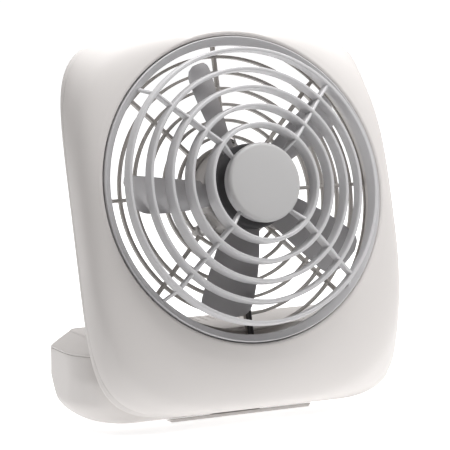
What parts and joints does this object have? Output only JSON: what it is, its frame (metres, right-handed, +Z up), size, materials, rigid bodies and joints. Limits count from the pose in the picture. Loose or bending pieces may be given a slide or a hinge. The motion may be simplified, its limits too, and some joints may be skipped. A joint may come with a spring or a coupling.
{
  "type": "portable battery fan",
  "caption": "Portable battery fan: a rounded-square head with a domed ring grille leans back on a cell-holding base. The head tilts, the rotor spins, the lid lifts off and the switch slides.",
  "frame": {"origin": "centre of the foot pad's flat underside, on the table", "axes": "+Z up, -Y out of the front grille where the air leaves, +X to the right seen from the front"},
  "size_m": [0.1594, 0.0602, 0.168],
  "materials": {
    "shell": "light warm grey, fine matte texture",
    "grille": "silver grey, satin",
    "cap": "light silver grey, satin",
    "rotor": "dark grey, semi-gloss",
    "steel": "nickel plated",
    "bronze": "sintered bronze",
    "black": "black moulded plastic",
    "lead": "soft black insulation",
    "nylon": "white nylon",
    "cell": "printed metal jacket, left plain"
  },
  "bodies": {
    "base": {"base_tub": "shell", "foot_runner_front": "shell", "foot_runner_rear": "shell", "foot_pad": "shell", "battery_left": "cell", "battery_right": "cell", "spring_plate": "steel", "contact_plate": "steel", "contact_button": "steel", "contact_spring": "steel", "switch_body": "black", "dc_jack": "black", "hinge_pin": "steel", "pin_clip": "steel", "hinge_washer_left": "nylon", "hinge_washer_right": "nylon"},
    "head": {"front_housing": "shell", "rear_housing": "shell", "housing_screw_1": "steel", "housing_screw_2": "steel", "housing_screw_3": "steel", "housing_screw_4": "steel", "front_grille": "grille", "centre_cap": "cap", "rear_grille": "grille", "motor_cup": "shell", "motor_rear_cap": "shell", "motor_can": "steel", "motor_end_bell": "black", "motor_bush": "bronze", "motor_screw_1": "steel", "motor_screw_2": "steel", "motor_screw_3": "steel", "motor_leads": "lead"},
    "rotor": {"fan_rotor": "rotor", "motor_shaft": "steel", "shaft_retainer": "black"},
    "battery_lid": {"battery_lid": "shell"},
    "speed_switch": {"speed_switch_knob": "rotor"}
  },
  "joints": [
    {"name": "head_tilt", "type": "hinge", "parent": "base", "child": "head", "pos_m": [0, -0.02822, 0.01589], "axis": [1, 0, 0], "range_deg": [0, 10]},
    {"name": "rotor_spin", "type": "hinge", "parent": "head", "child": "rotor", "pos_m": [0, -0.0153, 0.101], "axis": [0, -0.9646, 0.2639], "continuous": true},
    {"name": "battery_lid_slide", "type": "slide", "parent": "base", "child": "battery_lid", "axis": [0, 0.5, 0.866], "range_m": [0, 0.03]},
    {"name": "speed_switch_slide", "type": "slide", "parent": "base", "child": "speed_switch", "axis": [0, 1, 0], "range_m": [0, 0.007]}
  ]
}
